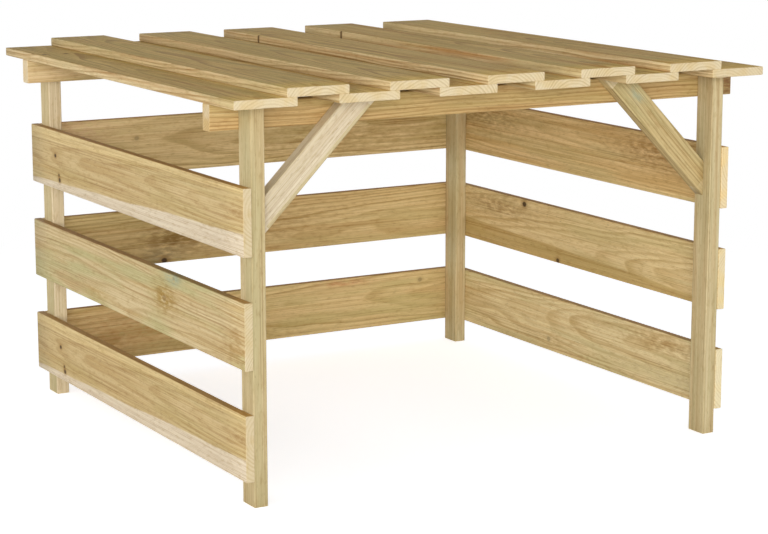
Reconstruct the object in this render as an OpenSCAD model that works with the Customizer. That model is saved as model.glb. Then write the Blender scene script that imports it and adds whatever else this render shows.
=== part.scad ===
// A low open shelter for a robot mower, put together from planed pine boards and
// laths. Four posts stand on the ground. Three boards close each side and the
// back, two beams and two braces carry a flat roof of boards laid in two layers,
// and the front stays open. X runs across the front, Y from front to back and Z
// upward. The origin is on the ground, under the middle of the roof.

/* [Roof] */
// Width of the roof, from edge board to edge board
roof_w = 840; // [720:1:1020]
// Depth of the roof, from front to back
roof_d = 806; // [660:1:980]
// Height of the underside of the roof above the ground
roof_z = 532; // [470:1:660]
// Thickness of each roof board
roof_board_t = 12; // [9:0.5:18]
// How far each upper roof board laps over the lower board beside it
roof_lap = 15; // [6:0.5:24]
// How far the roof reaches past the posts at each side
roof_past_sides = 41; // [20:1:60]
// How far the roof reaches past the posts at the front and the back
roof_past_ends = 37; // [10:1:60]

/* [Frame] */
// Width of a post, seen from the front
post_w = 20; // [16:0.5:30]
// Depth of a post, from front to back
post_d = 35; // [28:0.5:45]
// Width of the laths that the beams and the braces are cut from
lath_w = 35; // [28:0.5:45]
// Thickness of those laths
lath_t = 20; // [14:0.5:24]
// How far under the roof the lower edge of a brace meets its post
brace_drop = 177; // [130:1:220]

/* [Wall boards] */
// Height of each wall board
wall_board_h = 90; // [70:1:110]
// Thickness of each wall board
wall_board_t = 12; // [9:0.5:18]
// Height of the lowest boards above the ground
wall_board_z = 36; // [20:1:60]
// Open gap between one wall board and the next
wall_gap = 60; // [40:1:90]
// How far the side boards reach past the post at the front, and past the back
// boards at the back
side_board_past = 1; // [0:0.5:8]

/* [Finish] */
// Eased corner along the long edges of every board, post and beam
ease = 0.8; // [0.4:0.1:2]

/* [Hidden] */
LOWER_BOARDS = 6;
UPPER_BOARDS = LOWER_BOARDS - 1;
SIDES = ["left", "right"];
ROWS = ["low", "mid", "top"];

// Outer faces of the posts, measured from the middle of the shelter
post_x = roof_w / 2 - roof_past_sides;
post_y = roof_d / 2 - roof_past_ends;

// Inner faces of the posts, which look into the mower bay
bay_x = post_x - post_w;
bay_y = post_y - post_d;

// Side boards run from just past the front posts to just past the back boards
side_board_l = 2 * post_y + wall_board_t + 2 * side_board_past;
side_board_y = -post_y - side_board_past;

// Width of each roof board, and the step from a board to the next one in the
// other layer
roof_laps = 2 * UPPER_BOARDS;
roof_board_w = (roof_w + roof_laps * roof_lap) / (roof_laps + 1);
roof_step = roof_board_w - roof_lap;

// Height of the cut that a brace at 45 degrees has against its post
brace_cut = lath_w * sqrt(2);

pale_pine = "#c9b684";
side_pine = "#c4a86c";
rear_pine = "#b08d55";
roof_pine = "#97805a";

// Cross-section of a planed board: w across, h up, with eased corners
module board_section(w, h) {
    polygon([
        [ease, 0], [w - ease, 0], [w, ease], [w, h - ease],
        [w - ease, h], [ease, h], [0, h - ease], [0, ease]
    ]);
}

// A board that runs along X, from its lowest corner
module board_along_x(length, depth, height) {
    rotate([90, 0, 90]) linear_extrude(length) board_section(depth, height);
}

// A board that runs along Y, from its lowest corner
module board_along_y(length, width, height) {
    translate([0, length, 0]) rotate([90, 0, 0])
        linear_extrude(length) board_section(width, height);
}

// A post: side is -1 at the left and 1 at the right, end is -1 at the front
module post(side, end) {
    x = side < 0 ? -post_x : bay_x;
    y = end < 0 ? -post_y : bay_y;
    color(pale_pine) translate([x, y, 0])
        linear_extrude(roof_z) board_section(post_w, post_d);
}

// Height of the lower edge of a wall board: row 0 is the lowest
function row_z(row) = wall_board_z + row * (wall_board_h + wall_gap);

// One board on the outer face of the left or the right posts
module side_board(side, row) {
    x = side < 0 ? -post_x - wall_board_t : post_x;
    color(side_pine) translate([x, side_board_y, row_z(row)])
        board_along_y(side_board_l, wall_board_t, wall_board_h);
}

// One board across the back of the rear posts, between the side boards
module rear_board(row) {
    color(rear_pine) translate([-post_x, post_y, row_z(row)])
        board_along_x(2 * post_x, wall_board_t, wall_board_h);
}

// A beam as long as the roof is wide, against the inner face of two posts
module beam(end) {
    y = end < 0 ? -bay_y : bay_y - lath_t;
    color(side_pine) translate([-roof_w / 2, y, roof_z - lath_w])
        board_along_x(roof_w, lath_t, lath_w);
}

// A brace at 45 degrees in a front top corner: it lies on the front of the
// front beam, is cut upright against the post and level under the roof
module brace(side) {
    color(pale_pine)
        translate([side * bay_x, -bay_y, roof_z - brace_drop])
            mirror([side < 0 ? 0 : 1, 0, 0]) rotate([90, 0, 0]) linear_extrude(lath_t)
                polygon([
                    [0, 0], [brace_drop, brace_drop],
                    [brace_drop - brace_cut, brace_drop], [0, brace_cut]
                ]);
}

// A roof board that runs from front to back. Lower boards are even steps from
// the left edge, upper boards are the odd ones and lap over their neighbours
module roof_board(step, layer) {
    color(roof_pine)
        translate([-roof_w / 2 + step * roof_step, -roof_d / 2, roof_z + layer * roof_board_t])
            board_along_y(roof_d, roof_board_w, roof_board_t);
}

// Posts
for (s = [0, 1]) {
    post(2 * s - 1, -1);
    post(2 * s - 1, 1);
}

// Wall boards
for (row = [0 : len(ROWS) - 1]) {
    side_board(-1, row);
    side_board(1, row);
    rear_board(row);
}

// Beams and braces
beam(-1);  // front_beam
beam(1);  // rear_beam
brace(-1);  // brace_left
brace(1);  // brace_right

// Roof
for (i = [1 : LOWER_BOARDS])
    roof_board(2 * i - 2, 0);
for (i = [1 : UPPER_BOARDS])
    roof_board(2 * i - 1, 1);
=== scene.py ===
"""A low open shelter for a robot mower: posts, wall boards, beams, braces and a roof of lapped boards, all planed
pressure-impregnated pine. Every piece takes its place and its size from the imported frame, in metres."""

import math

import bpy
import numpy as np
from mathutils import Matrix, Vector


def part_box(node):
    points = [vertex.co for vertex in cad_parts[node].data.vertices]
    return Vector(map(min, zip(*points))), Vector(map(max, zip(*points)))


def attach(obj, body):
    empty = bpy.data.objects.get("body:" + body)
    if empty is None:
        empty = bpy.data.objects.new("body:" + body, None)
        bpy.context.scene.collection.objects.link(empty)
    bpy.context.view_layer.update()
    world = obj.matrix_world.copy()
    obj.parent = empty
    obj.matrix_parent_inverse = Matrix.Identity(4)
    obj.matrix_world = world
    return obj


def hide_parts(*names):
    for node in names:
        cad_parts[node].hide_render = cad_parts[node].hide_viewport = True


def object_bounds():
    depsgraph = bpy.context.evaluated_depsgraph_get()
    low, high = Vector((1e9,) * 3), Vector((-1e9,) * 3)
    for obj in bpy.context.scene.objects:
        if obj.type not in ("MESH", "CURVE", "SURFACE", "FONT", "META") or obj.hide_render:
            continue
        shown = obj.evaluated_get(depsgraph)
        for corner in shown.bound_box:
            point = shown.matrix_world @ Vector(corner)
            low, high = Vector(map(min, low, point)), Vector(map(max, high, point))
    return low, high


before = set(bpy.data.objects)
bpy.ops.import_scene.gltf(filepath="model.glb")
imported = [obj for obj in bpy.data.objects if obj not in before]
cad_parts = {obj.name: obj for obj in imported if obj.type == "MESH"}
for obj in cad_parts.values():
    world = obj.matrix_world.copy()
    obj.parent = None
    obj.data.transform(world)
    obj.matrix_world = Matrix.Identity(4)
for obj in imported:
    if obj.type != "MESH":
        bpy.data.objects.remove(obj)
CAD_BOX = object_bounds()

# --- Posts -----------------------------------------------------------------------------------------------------
# Four uprights of planed pine lath, 35 mm deep and 20 mm wide, pale and greenish from the impregnation.
# They are cut square at both ends. The wall boards are nailed to their outer faces and the beams to the inner ones.

ARRIS = 0.0014
SAWN_EDGE = 0.0005
MM = 1000.0


def linear(code):
    """A colour written as six hex digits, as a screen shows it, turned into the linear RGBA that a shader takes."""
    shown = [int(code[i : i + 2], 16) / 255 for i in (0, 2, 4)]
    return [x / 12.92 if x < 0.04045 else ((x + 0.055) / 1.055) ** 2.4 for x in shown] + [1.0]


def planed_outline(width, depth, arris, steps=5):
    """Outline of a planed board's section as rows of (across, through), anticlockwise round the middle. Each corner
    is a quarter circle of the arris radius, with one more point on the flat at either side, so that the flats stay flat."""
    turn = np.linspace(0, math.pi / 2, steps + 1)
    guard = arris * 0.4
    rows = []
    for quarter, (right, up) in enumerate(((1, 1), (-1, 1), (-1, -1), (1, -1))):
        angle = turn + quarter * math.pi / 2
        arc = np.stack([np.cos(angle), np.sin(angle)], axis=1) * arris
        tangent_in = np.array([math.sin(angle[0]), -math.cos(angle[0])]) * guard
        tangent_out = np.array([-math.sin(angle[-1]), math.cos(angle[-1])]) * guard
        arc = np.concatenate([arc[:1] + tangent_in, arc, arc[-1:] + tangent_out])
        rows.append(arc + [right * (width / 2 - arris), up * (depth / 2 - arris)])
    return np.concatenate(rows)


def plank_mesh(name, middle, axes, size, lean_start=0.0, lean_end=0.0):
    """A sawn length of planed timber. axes holds three unit vectors: along the grain, across the face, out of the face.
    Point (u, v) = middle + across(u) * B + through(u) * C + along(u, v) * A. The outline gives across and through, and
    along goes from the first cut to the second one. A mitred cut moves along by its lean times across. The outline
    shrinks by the sawn edge in the last sliver before each cut, so that the cut has a small chamfer round it."""
    length, width, depth = size
    outer = planed_outline(width, depth, ARRIS)
    inner = planed_outline(width - 2 * SAWN_EDGE, depth - 2 * SAWN_EDGE, ARRIS)
    spans = 12
    share = np.linspace(0, 1, spans + 1)
    rings = []
    for k, outline in [(0, inner)] + [(None, outer)] * (spans + 1) + [(1, inner)]:
        rings.append(outline)
    section = np.stack(rings)
    across, through = section[..., 0], section[..., 1]
    start = -length / 2 + lean_start * across
    end = length / 2 + lean_end * across
    place = np.concatenate([[0.0], share, [1.0]])[:, None]
    edge = np.zeros((spans + 3, 1))
    edge[1], edge[-2] = SAWN_EDGE, -SAWN_EDGE
    along = start + (end - start) * place + edge
    a, b, c = (np.array(v) for v in axes)
    points = np.array(middle) + along[..., None] * a + across[..., None] * b + through[..., None] * c

    around = outer.shape[0]
    i, j = np.meshgrid(np.arange(spans + 2), np.arange(around), indexing="ij")
    k = (j + 1) % around
    quads = np.stack([i * around + j, i * around + k, (i + 1) * around + k, (i + 1) * around + j], axis=-1)
    quads = quads.reshape(-1, 4)[:, ::-1]
    last = (spans + 2) * around
    caps = [list(range(around))[::-1], list(range(last, last + around))]
    mesh = bpy.data.meshes.new(name)
    mesh.from_pydata(points.reshape(-1, 3), [], quads[:, ::-1].tolist() + caps)
    smooth = np.ones(len(mesh.polygons), dtype=bool)
    smooth[:around] = False
    smooth[-around - 2 :] = False
    mesh.polygons.foreach_set("use_smooth", smooth)
    mesh.validate()
    return mesh


class Grain:
    """A number that changes over a surface, held by a socket. Python's operators on it add the Math nodes."""

    def __init__(self, finish, socket):
        self.finish = finish
        self.socket = socket

    def math(self, operation, *others):
        values = [self] + list(others)
        return self.finish.value("ShaderNodeMath", {"operation": operation}, dict(enumerate(values)))

    def __add__(self, other):
        return self.math("ADD", other)

    def __sub__(self, other):
        return self.math("SUBTRACT", other)

    def __mul__(self, other):
        return self.math("MULTIPLY", other)

    def __truediv__(self, other):
        return self.math("DIVIDE", other)

    def __radd__(self, other):
        return self.math("ADD", other)

    def __rsub__(self, other):
        return (self * -1.0).math("ADD", other)

    def __rmul__(self, other):
        return self.math("MULTIPLY", other)

    def __neg__(self):
        return self * -1.0

    def bell(self):
        """1 where this is nought, falling off to both sides: e to the minus square."""
        return (-(self * self)).math("EXPONENT")

    def ramp(self, low, high, bottom=0.0, top=1.0):
        """Eases from bottom to top while this goes from low to high."""
        values = {"Value": self, "From Min": low, "From Max": high, "To Min": bottom, "To Max": top}
        return self.finish.value("ShaderNodeMapRange", {"interpolation_type": "SMOOTHSTEP"}, values)


class Finish:
    """The nodes of a material or of the world, while they are being put together."""

    def __init__(self, owner):
        self.owner = owner
        owner.use_nodes = True
        self.tree = owner.node_tree
        self.tree.nodes.clear()

    def node(self, kind, settings=None, inputs=None):
        """Adds a node of that kind: its settings first, then the numbers, colours or links of its sockets."""
        made = self.tree.nodes.new(kind)
        for key, setting in (settings or {}).items():
            setattr(made, key, setting)
        for key, given in (inputs or {}).items():
            given = getattr(given, "socket", given)
            if isinstance(given, bpy.types.NodeSocket):
                self.tree.links.new(given, made.inputs[key])
            else:
                made.inputs[key].default_value = given
        return made

    def value(self, kind, settings=None, inputs=None, output=0):
        return Grain(self, self.node(kind, settings, inputs).outputs[output])

    def mix(self, first, second, share, blend="MIX"):
        """Goes from the first colour to the second one by the share. A colour is a hex code or a socket."""
        first, second = (linear(x) if isinstance(x, str) else x for x in (first, second))
        settings = {"data_type": "RGBA", "blend_type": blend, "clamp_factor": True}
        return self.node("ShaderNodeMix", settings, {0: share, 6: first, 7: second}).outputs[2]

    def noise(self, place, stretch, shift=0.0, detail=2.0, roughness=0.5):
        """Cloudy noise from 0 to 1 whose clouds are as long as stretch says in each direction. shift draws another one."""
        inputs = {0: place, 1: [shift * 3.7, shift * 9.1, shift * 5.3], 3: [1 / x for x in stretch]}
        scaled = self.node("ShaderNodeMapping", {"vector_type": "POINT"}, inputs)
        inputs = {"Vector": scaled.outputs[0], "Scale": 1.0, "Detail": detail, "Roughness": roughness}
        return self.value("ShaderNodeTexNoise", {"noise_dimensions": "3D"}, inputs)

    def distance(self, place, middle, reach):
        """How far a point lies from the middle, where 1 is the surface of an ellipsoid whose half axes are the reach."""
        moved = self.node("ShaderNodeMapping", {"vector_type": "TEXTURE"}, {0: place, 1: middle, 3: reach})
        return self.value("ShaderNodeVectorMath", {"operation": "LENGTH"}, {0: moved.outputs[0]}, "Value")


def pine(name, middle, axes, length, early, late, warm, green, seed, pith, lean=(0.0, 0.0), ring=4.0, contrast=0.6,
         greenness=0.4, warmth=0.4, shine=0.3, knots=(), eyes=(), stains=(), bands=(), top_edge_shade=None, top_face_shade=None):
    """Planed pine as a solid: what shows on a face is where the face cuts the log. In millimetres from the board's
    middle, a runs along the grain, b across the face and c out of it. The pith lies at pith = (b, c) and leans with a.
    The distance to it, bent by slow noise, pushed aside by knots (a, b, radius, darkness) and lowered by eyes
    (a, b, long, wide, height), counts the growth rings, and each ring darkens slowly from early wood to late wood and
    ends sharply. Over that lie fibres, long streaks, green and warm clouds, stains (a, b, long, wide, colour,
    strength), and bands (b, drift, side, colour, strength) that colour all that lies above or below a wavy line.
    rim (b, colour) paints shade on the narrow upper edge beyond b, and crown (c, colour) on the upper face beyond c."""
    wood = Finish(bpy.data.materials.new(name))
    place = wood.node("ShaderNodeTexCoord").outputs["Object"]
    turn = Matrix(axes)
    inputs = {0: place, 1: -(turn @ Vector(middle)) * MM, 2: turn.to_euler(), 3: [MM] * 3}
    place = wood.node("ShaderNodeMapping", {"vector_type": "POINT"}, inputs).outputs[0]
    split = wood.node("ShaderNodeSeparateXYZ", None, {0: place})
    a, b, c = (Grain(wood, x) for x in split.outputs)

    slow_b = wood.noise(place, (260, 70, 70), seed, 1.0) - 0.5
    slow_c = wood.noise(place, (300, 60, 60), seed + 17, 2.0) - 0.5
    fibre = wood.noise(place, (80, 0.8, 0.8), seed + 5, 3.0, 0.6)
    line = wood.noise(place, (330, 1.4, 1.4), seed + 7, 2.0, 0.6)
    mottle = wood.noise(place, (16, 5, 5), seed + 13, 2.0, 0.6)
    streak = wood.noise(place, (420, 8, 8), seed + 3, 3.0, 0.55)
    cloud = wood.noise(place, (220, 26, 26), seed + 9, 2.0)

    across = b
    for at_a, at_b, radius, darkness in knots:
        near = wood.distance(place, (at_a, at_b, 0), (radius * 6, radius * 2.2, MM)).bell()
        across = across - (b - at_b) * near * 0.8
    out_b = across - pith[0] - a * lean[0] + slow_b * 18.0
    out_c = c - pith[1] - a * lean[1] + slow_c * 16.0
    far = (out_b * out_b + out_c * out_c).math("SQRT")
    for at_a, at_b, long, wide, height in eyes:
        far = far - wood.distance(place, (at_a, at_b, 0), (long, wide, MM)).bell() * height
    count = far * (1 / ring) + (fibre - 0.5) * 0.25 + (line - 0.5) * 0.2
    year = count.math("FLOOR")
    season = count - year
    weight = wood.value("ShaderNodeTexWhiteNoise", {"noise_dimensions": "1D"}, {"W": year + seed})
    latewood = season.ramp(0.30, 0.88) * season.ramp(0.93, 1.0, 1.0, 0.0) * (weight * 0.85 + 0.3)

    colour = wood.mix(early, late, latewood * contrast)
    colour = wood.mix(colour, warm, streak.ramp(0.45, 0.7) * warmth)
    colour = wood.mix(colour, green, cloud.ramp(0.42, 0.66) * greenness)
    for at_b, drift, side, tint, strength in bands:
        beyond = (b - at_b - a * drift + slow_b * 9.0 + (mottle - 0.5) * 2.0) * side
        kept = 1.0 - latewood * 0.25
        colour = wood.mix(colour, tint, beyond.ramp(-1.0, 1.6) * kept * strength)
    for at_a, at_b, long, wide, tint, strength in stains:
        near = wood.distance(place, (at_a, at_b, 0), (long, wide, MM)).bell()
        colour = wood.mix(colour, tint, near * mottle.ramp(0.25, 0.6) * strength)
    colour = wood.mix(colour, wood.mix(colour, "C3A473", 1.0, "MULTIPLY"), line.ramp(0.5, 0.72) * 0.5)
    colour = wood.mix(colour, "EFE0BC", line.ramp(0.46, 0.28) * 0.16)
    colour = wood.mix(colour, wood.mix(colour, "B79A6A", 1.0, "MULTIPLY"), fibre.ramp(0.42, 0.7) * 0.3)
    colour = wood.mix(colour, wood.mix(colour, "CFB98E", 1.0, "MULTIPLY"), mottle.ramp(0.5, 0.75) * 0.35)
    duct = wood.noise(place, (11, 0.8, 0.8), seed + 23, 1.0).ramp(0.66, 0.74)
    colour = wood.mix(colour, "7A5C33", duct * 0.4)
    for at_a, at_b, radius, darkness in knots:
        edge = wood.distance(place, (at_a, at_b, 0), (radius * 1.2, radius, MM)) + (mottle - 0.5) * 0.5
        colour = wood.mix(colour, "9A7238", edge.ramp(2.4, 0.9) * darkness * 0.55)
        colour = wood.mix(colour, "3F2A16", edge.ramp(1.15, 0.6) * darkness)
    # Painted shade: rim darkens the narrow upper edges and crown the upper faces, where less light falls from above.
    for axis, painted_shade in ((b, top_edge_shade), (c, top_face_shade)):
        if painted_shade:
            shade_share = axis.ramp(painted_shade[0], painted_shade[0] + 0.8)
            colour = wood.mix(colour, wood.mix(colour, painted_shade[1], 1.0, "MULTIPLY"), shade_share)
    cut = a.math("ABSOLUTE").math("GREATER_THAN", length * MM / 2 - SAWN_EDGE * MM * 0.9)
    speck = wood.noise(place, (2.5, 1.2, 1.2), seed + 31, 2.0)
    sawn = wood.mix(wood.mix(early, "E6DCC2", cloud.ramp(0.35, 0.6) * 0.4), late, latewood * 0.35)
    sawn = wood.mix(sawn, "A88B5C", speck.ramp(0.4, 0.75) * 0.15)
    colour = wood.mix(colour, sawn, cut)
    height = fibre * 0.5 + line * 0.4 + latewood * 0.8
    normal = wood.node("ShaderNodeBump", None, {"Strength": 0.4, "Distance": 0.0003, "Height": height})
    inputs = {
        "Base Color": colour,
        "Roughness": 0.68 - latewood * 0.10 + fibre * 0.08,
        "Normal": normal.outputs[0],
        "Specular IOR Level": shine,
    }
    shader = wood.node("ShaderNodeBsdfPrincipled", None, inputs)
    wood.node("ShaderNodeOutputMaterial", None, {"Surface": shader.outputs[0]})
    return wood.owner


X, Y, Z = Vector((1, 0, 0)), Vector((0, 1, 0)), Vector((0, 0, 1))


def timber(node, axes, look, size=None, aside=0.0, lean_start=0.0, lean_end=0.0):
    """Makes the finished piece of one CAD node: its mesh in the node's box, its pine, and the calls that place it.
    aside moves it across its face from the middle of the box."""
    low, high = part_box(node)
    middle = (low + high) / 2 + axes[1] * aside
    if size is None:
        reach = high - low
        size = [abs(reach.dot(axis)) for axis in axes]
    mesh = plank_mesh(node + "_wood", middle, axes, size, lean_start, lean_end)
    mesh.materials.append(pine(node + "_pine", middle, axes, size[0], **look))
    piece = bpy.data.objects.new(node + "_wood", mesh)
    bpy.context.scene.collection.objects.link(piece)
    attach(piece, "root")
    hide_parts(node)
    return piece


POST_AXES = (Z, Y, -X)
POST_TONE = dict(early="D2C297", late="B49A66", warm="C6A876", green="B9B183", contrast=0.5)
POST_LOOKS = {
    "post_front_left": dict(early="CCBA8E", seed=1, pith=(52, -8), ring=3.0, greenness=0.5, warmth=0.2,
                            bands=[(9, 0.0, 1, "D9C9A2", 0.1)]),
    "post_front_right": dict(seed=4, pith=(46, -30), ring=3.2, warmth=0.5),
    "post_rear_left": dict(seed=7, pith=(40, -25), ring=3.1, bands=[(-15, 0.0, -1, "E8D6B6", 0.6)]),
    "post_rear_right": dict(seed=11, pith=(45, -12), ring=3.4, warmth=0.6),
}
for node, look in POST_LOOKS.items():
    timber(node, POST_AXES, dict(POST_TONE, **look))

# --- Side boards -----------------------------------------------------------------------------------------------
# Three boards of 12 by 90 mm planed pine close each side, with open gaps between them.
# They are nailed on the outer faces of the posts and end just past them.

SIDE_AXES = (-Y, Z, -X)
# The tone darkens the boards' narrow upper edges with painted shade.
SIDE_TONE = dict(early="CEB684", late="A78345", warm="BC995A", green="B5A76C", top_edge_shade=(44.2, "D6BE98"))
SAPWOOD = "E0D2BA"
FLITCH = dict(seed=21, pith=(14, -46), lean=(0.012, 0.025), ring=5.2, warmth=0.5, greenness=0.25,
              eyes=[(300, 14, 150, 22, 9.0), (-120, 10, 260, 26, 5.0)],
              knots=[(-275, 7, 3.2, 0.95), (-262, -22, 3.0, 0.8), (-260, -29, 4.0, 0.85)],
              bands=[(-25, 0.03, -1, SAPWOOD, 0.95), (33, 0.016, 1, "E0C992", 0.75)],
              stains=[(352, 14, 26, 6, "9C7440", 0.7)])
# Partly the wood's tone, partly painted light: the inner faces are paler for light bounced into the shelter.
LIT_INNER_TONE = dict(early="EBD5A0", late="BF9A58", warm="D0A866", green="C9BA80")
SIDE_LOOKS = {
    "left_board_top": FLITCH,
    "left_board_low": FLITCH,
    "left_board_mid": dict(early="D5C194", green="BDB682", seed=25, pith=(-34, -64), lean=(-0.05, 0.01), ring=3.3, contrast=0.75, greenness=0.8,
                           warmth=0.55,
                           knots=[(154, 40, 3.0, 0.2), (121, 7, 5.0, 0.25)],
                           stains=[(121, 7, 34, 20, "A4822F", 1.0), (150, 41, 22, 10, "93AB9C", 0.9),
                                   (-121, -30, 40, 9, "B08F42", 0.6), (345, -20, 40, 26, "A07C3E", 0.6)]),
    "right_board_top": dict(LIT_INNER_TONE, early="F0D49A", seed=33, pith=(20, -50), lean=(0.02, 0.03), ring=4.4, warmth=0.7,
                            stains=[(-280, 25, 130, 30, "96743A", 0.6), (220, 18, 120, 26, "A87A3C", 0.7)]),
    "right_board_mid": dict(LIT_INNER_TONE, seed=37, pith=(-20, -70), lean=(0.02, 0.03), ring=4.0,
                            knots=[(-142, 37, 5.0, 0.95), (-42, -41, 4.0, 0.9)],
                            bands=[(-22, -0.04, -1, "BB9A50", 0.6)],
                            stains=[(-230, 24, 110, 16, "A17C44", 0.7)]),
    "right_board_low": dict(LIT_INNER_TONE, early="F0DFAE", green="D4C892", seed=41, pith=(10, -55), lean=(0.02, 0.03), ring=4.2, greenness=0.6,
                            knots=[(-65, -26, 4.5, 0.3)],
                            stains=[(240, 28, 120, 16, "AE8444", 0.6), (300, -20, 140, 22, "D2C096", 0.5)]),
}
for node, look in SIDE_LOOKS.items():
    timber(node, SIDE_AXES, dict(SIDE_TONE, **look))

# --- Rear boards -----------------------------------------------------------------------------------------------
# Three boards of the same size close the back. They are nailed on the rear faces of the rear posts, between the
# side boards.

REAR_AXES = (X, Z, -Y)
# Paler tones, partly the wood's own and partly painted light bounced inside; painted shade on the upper edges.
LIT_REAR_TONE = dict(early="E2C992", late="AC8A46", warm="C6A064", green="C2B376", contrast=0.7, top_edge_shade=(44.2, "D6BE98"))
REAR_LOOKS = {
    "rear_board_top": dict(early="EFD8A2", green="CFC080", seed=45, pith=(10, -80), lean=(0.01, 0.02), ring=3.8,
                           knots=[(-219, 12, 4.0, 0.3)],
                           stains=[(-330, 20, 70, 40, "E6C49C", 0.7), (170, -10, 200, 30, "AC863F", 0.45)]),
    "rear_board_mid": dict(seed=49, pith=(-25, -70), lean=(0.01, 0.02), ring=3.8,
                           knots=[(-175, -41, 5.0, 0.95)],
                           stains=[(-154, -5, 55, 22, "7E6228", 0.8), (-180, -36, 34, 16, "8F8668", 0.7),
                                   (-40, 0, 160, 40, "A47E42", 0.5)]),
    "rear_board_low": dict(seed=53, pith=(0, -60), lean=(0.02, 0.02), ring=4.0, greenness=0.6,
                           knots=[(308, 29, 4.0, 0.35)],
                           stains=[(-260, 0, 140, 40, "CFA066", 0.6), (156, 37, 44, 5, "C78555", 0.7),
                                   (-60, -30, 90, 18, "A17C34", 0.6)]),
}
for node, look in REAR_LOOKS.items():
    timber(node, REAR_AXES, dict(LIT_REAR_TONE, **look))

# --- Beams -----------------------------------------------------------------------------------------------------
# Two laths of 20 by 35 mm, as long as the roof is wide, lie against the inner faces of the posts, one at the front
# and one at the back. The roof boards are nailed down on them.

BEAM_AXES = (X, Z, -Y)
BEAM_TONE = dict(early="CFB078", late="A07C40", warm="BC9154", green="B5A666", contrast=0.6)
timber("front_beam", BEAM_AXES,
       dict(BEAM_TONE, seed=61, pith=(30, -30), ring=3.6, stains=[(414, 0, 20, 30, "8E6238", 0.9)]))
timber("rear_beam", BEAM_AXES, dict(BEAM_TONE, early="DFC698", late="B8945A", seed=65, pith=(30, -30), ring=3.6))

# --- Braces ----------------------------------------------------------------------------------------------------
# Two short laths at 45 degrees stiffen the front corners. Each lies on the front of the beam, is cut upright
# against its post and level under the roof, and is nailed through the cuts.

BRACE_TONE = dict(early="E0D3B8", late="C4AC7E", warm="D2B894", green="CDC398", contrast=0.4)
lath_width = (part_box("front_beam")[1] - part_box("front_beam")[0]).z
low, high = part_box("brace_left")
brace_length = (high.x - low.x) * math.sqrt(2) - lath_width
brace_size = (brace_length, lath_width, high.y - low.y)
UP_LEFT, UP_RIGHT, DOWN_RIGHT = (v.normalized() for v in (Z - X, Z + X, X - Z))
timber("brace_left", (UP_RIGHT, UP_LEFT, -Y),
       dict(BRACE_TONE, seed=71, pith=(-60, -20), ring=5.0, greenness=0.15, warmth=0.2,
            bands=[(-12, 0.0, -1, "C4B476", 0.5)]), brace_size, lath_width / 2, 1.0, -1.0)
timber("brace_right", (DOWN_RIGHT, UP_RIGHT, -Y),
       dict(BRACE_TONE, early="D0BB88", late="A4884E", warm="C2A36A", green="B4AE7C", seed=75, pith=(30, -20), ring=3.6, contrast=0.8,
            greenness=0.5, stains=[(-70, 4, 16, 8, "A9B49A", 0.8)]), brace_size, lath_width / 2, 1.0, -1.0)

# --- Roof ------------------------------------------------------------------------------------------------------
# Eleven boards of 12 by 90 mm run from front to back in two layers: six lie on the beams, and five lie over the
# gaps between them and lap 15 mm over both neighbours. Same pine, a little browner, with painted shade on top.

ROOF_AXES = (-Y, X, Z)
# The tone darkens and yellows the roof boards' upper faces with painted shade.
ROOF_TONE = dict(early="DCC698", late="A07C42", warm="B88A50", green="BCAE78", shine=0.15, contrast=0.75,
                 top_face_shade=(5.4, "FFF4C2"))
ROOF_KNOTS = {
    "lower_1": [(-268, -34, 4.0, 0.8), (-266, 0, 4.0, 0.8)],
    "upper_3": [(-276, -45, 2.2, 0.8)],
    "upper_4": [(-277, -45, 2.2, 0.8)],
}
for layer, boards in (("lower", 6), ("upper", 5)):
    for i in range(1, boards + 1):
        seed = 80 + 4 * i + (30 if layer == "upper" else 0)
        sway, depth = math.sin(2.1 * seed), math.cos(1.3 * seed)
        look = dict(ROOF_TONE, seed=seed, pith=(24 * sway, -54 + 12 * depth), lean=(0.015 * depth, 0.02 + 0.012 * sway),
                    warmth=0.6 + 0.3 * depth, greenness=0.3 + 0.2 * sway, knots=ROOF_KNOTS.get(f"{layer}_{i}", ()))
        timber(f"roof_{layer}_{i}", ROOF_AXES, look)

# --- Floor, light and camera -----------------------------------------------------------------------------------
# A plain white floor, a soft key light from the front left, two more from the left corner and the left side, and a
# pale sky that is dimmer overhead.

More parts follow.
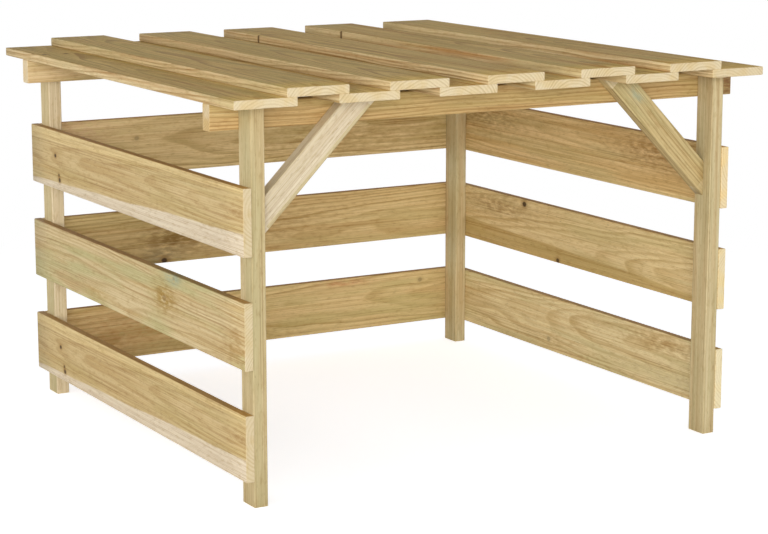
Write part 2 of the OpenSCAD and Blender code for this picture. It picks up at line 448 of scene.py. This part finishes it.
reach = 30.0
corners = [(-reach, -reach, 0), (reach, -reach, 0), (reach, reach, 0), (-reach, reach, 0)]
floor_mesh = bpy.data.meshes.new("floor")
floor_mesh.from_pydata(corners, [], [(0, 1, 2, 3)])
floor = bpy.data.objects.new("floor", floor_mesh)
bpy.context.scene.collection.objects.link(floor)
ground = Finish(bpy.data.materials.new("floor_white"))
seen = ground.value("ShaderNodeLightPath")
place = ground.node("ShaderNodeTexCoord").outputs["Object"]
away = ground.distance(place, (0, 0, 0), (1, 1, 1)).ramp(0.7, 1.6)
paint = ground.node("ShaderNodeBsdfDiffuse", None, {"Color": (0.92, 0.92, 0.92, 1)})
glow = ground.node("ShaderNodeEmission", None, {"Color": (0.92, 0.95, 1.0, 1), "Strength": 0.66 * seen})
near = ground.node("ShaderNodeAddShader", None, {0: paint.outputs[0], 1: glow.outputs[0]})
white = ground.node("ShaderNodeEmission", None, {"Color": (1, 1, 1, 1), "Strength": 1.0 * seen})
both = ground.node("ShaderNodeMixShader", None, {0: away * seen, 1: near.outputs[0], 2: white.outputs[0]})
ground.node("ShaderNodeOutputMaterial", None, {"Surface": both.outputs[0]})
floor_mesh.materials.append(ground.owner)

bpy.context.scene.world = bpy.data.worlds.new("sky")
sky = Finish(bpy.context.scene.world)
seen = sky.value("ShaderNodeLightPath")
ray = sky.node("ShaderNodeTexCoord").outputs["Generated"]
up = sky.value("ShaderNodeSeparateXYZ", None, {0: ray}, "Z")
light = up.ramp(0.0, 0.7, 1.2, 0.3)
inputs = {"Color": (1, 1, 1, 1), "Strength": light + (1.0 - light) * seen}
paint = sky.node("ShaderNodeBackground", None, inputs)
sky.node("ShaderNodeOutputWorld", None, {"Surface": paint.outputs[0]})

low, high = CAD_BOX
target = (low + high) / 2


def soft_lamp(name, azimuth, elevation, distance, side, watts):
    """A square area lamp that looks at the shelter. Azimuth 0 is in front, and it grows towards the right."""
    turn, rise = math.radians(azimuth), math.radians(elevation)
    back = Vector((math.sin(turn) * math.cos(rise), -math.cos(turn) * math.cos(rise), math.sin(rise)))
    data = bpy.data.lights.new(name, "AREA")
    data.shape = "SQUARE"
    data.size = side
    data.energy = watts
    lamp = bpy.data.objects.new(name, data)
    lamp.location = target + back * distance
    lamp.rotation_euler = back.to_track_quat("Z", "Y").to_euler()
    bpy.context.scene.collection.objects.link(lamp)


soft_lamp("front_light", -26, 3, 8.0, 4.4, 460)
soft_lamp("corner_light", -55, 8, 8.0, 5.0, 75)
soft_lamp("left_light", -88, 8, 8.0, 5.0, 145)

camera_data = bpy.data.cameras.new("camera")
camera_data.sensor_width = 36.0
camera_data.lens = 103.84
camera = bpy.data.objects.new("camera", camera_data)
camera.location = (-1.62184, -2.87683, 0.87156)
camera.rotation_euler = (math.radians(90 - 11.09), 0.0, math.radians(-29.81))
bpy.context.scene.collection.objects.link(camera)
bpy.context.scene.camera = camera
bpy.context.scene.view_settings.view_transform = "Standard"
